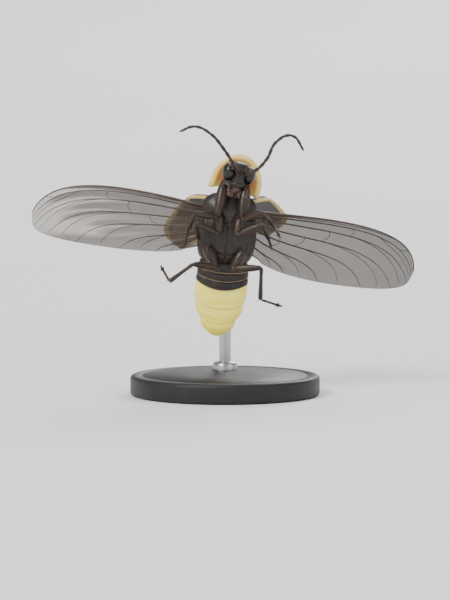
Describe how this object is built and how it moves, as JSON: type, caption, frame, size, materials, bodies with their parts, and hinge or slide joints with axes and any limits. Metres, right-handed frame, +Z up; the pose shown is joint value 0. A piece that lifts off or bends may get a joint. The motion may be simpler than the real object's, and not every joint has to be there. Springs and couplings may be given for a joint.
{
  "type": "firefly, big dipper firefly in flight, life-size model on a display stand",
  "caption": "Life-size flying firefly with open wing cases, spread hind wings and a pale yellow light organ, on a rod over a round base.",
  "frame": {"origin": "centre of the underside of the stand's round base", "axes": "+Z up, +X towards the insect's left side, -Y the way its underside faces"},
  "size_m": [0.0389, 0.0239, 0.0271],
  "materials": {
    "black_cuticle": "satin black-brown shell",
    "brown_cuticle": "dark brown legs and feelers",
    "eye": "glossy black, finely faceted",
    "rosy_shield": "satin rose and yellow with a black spot",
    "wing_case": "finely haired black-brown with pale edges",
    "wing_membrane": "smoky clear membrane with brown veins",
    "lantern": "pale yellow, waxy",
    "stand_black": "matt black",
    "stand_steel": "satin"
  },
  "bodies": {
    "root": {"head": "black_cuticle", "prothorax": "black_cuticle", "mesothorax": "black_cuticle", "metathorax": "black_cuticle", "abdomen": "black_cuticle", "pronotum": "rosy_shield", "eye_right": "eye", "antenna_right": "brown_cuticle", "palp_right": "brown_cuticle", "elytron_right": "wing_case", "hindwing_right": "wing_membrane", "eye_left": "eye", "antenna_left": "brown_cuticle", "palp_left": "brown_cuticle", "elytron_left": "wing_case", "hindwing_left": "wing_membrane", "lantern_front": "lantern", "lantern_rear": "lantern", "tail_plate": "lantern", "coxa_fore_right": "brown_cuticle", "femur_fore_right": "brown_cuticle", "tibia_fore_right": "brown_cuticle", "tarsus_fore_right": "brown_cuticle", "coxa_fore_left": "brown_cuticle", "femur_fore_left": "brown_cuticle", "tibia_fore_left": "brown_cuticle", "tarsus_fore_left": "brown_cuticle", "coxa_mid_right": "brown_cuticle", "femur_mid_right": "brown_cuticle", "tibia_mid_right": "brown_cuticle", "tarsus_mid_right": "brown_cuticle", "coxa_mid_left": "brown_cuticle", "femur_mid_left": "brown_cuticle", "tibia_mid_left": "brown_cuticle", "tarsus_mid_left": "brown_cuticle", "coxa_hind_right": "brown_cuticle", "femur_hind_right": "brown_cuticle", "tibia_hind_right": "brown_cuticle", "tarsus_hind_right": "brown_cuticle", "coxa_hind_left": "brown_cuticle", "femur_hind_left": "brown_cuticle", "tibia_hind_left": "brown_cuticle", "tarsus_hind_left": "brown_cuticle", "stand_base": "stand_black", "stand_rod": "stand_steel"}
  },
  "joints": []
}
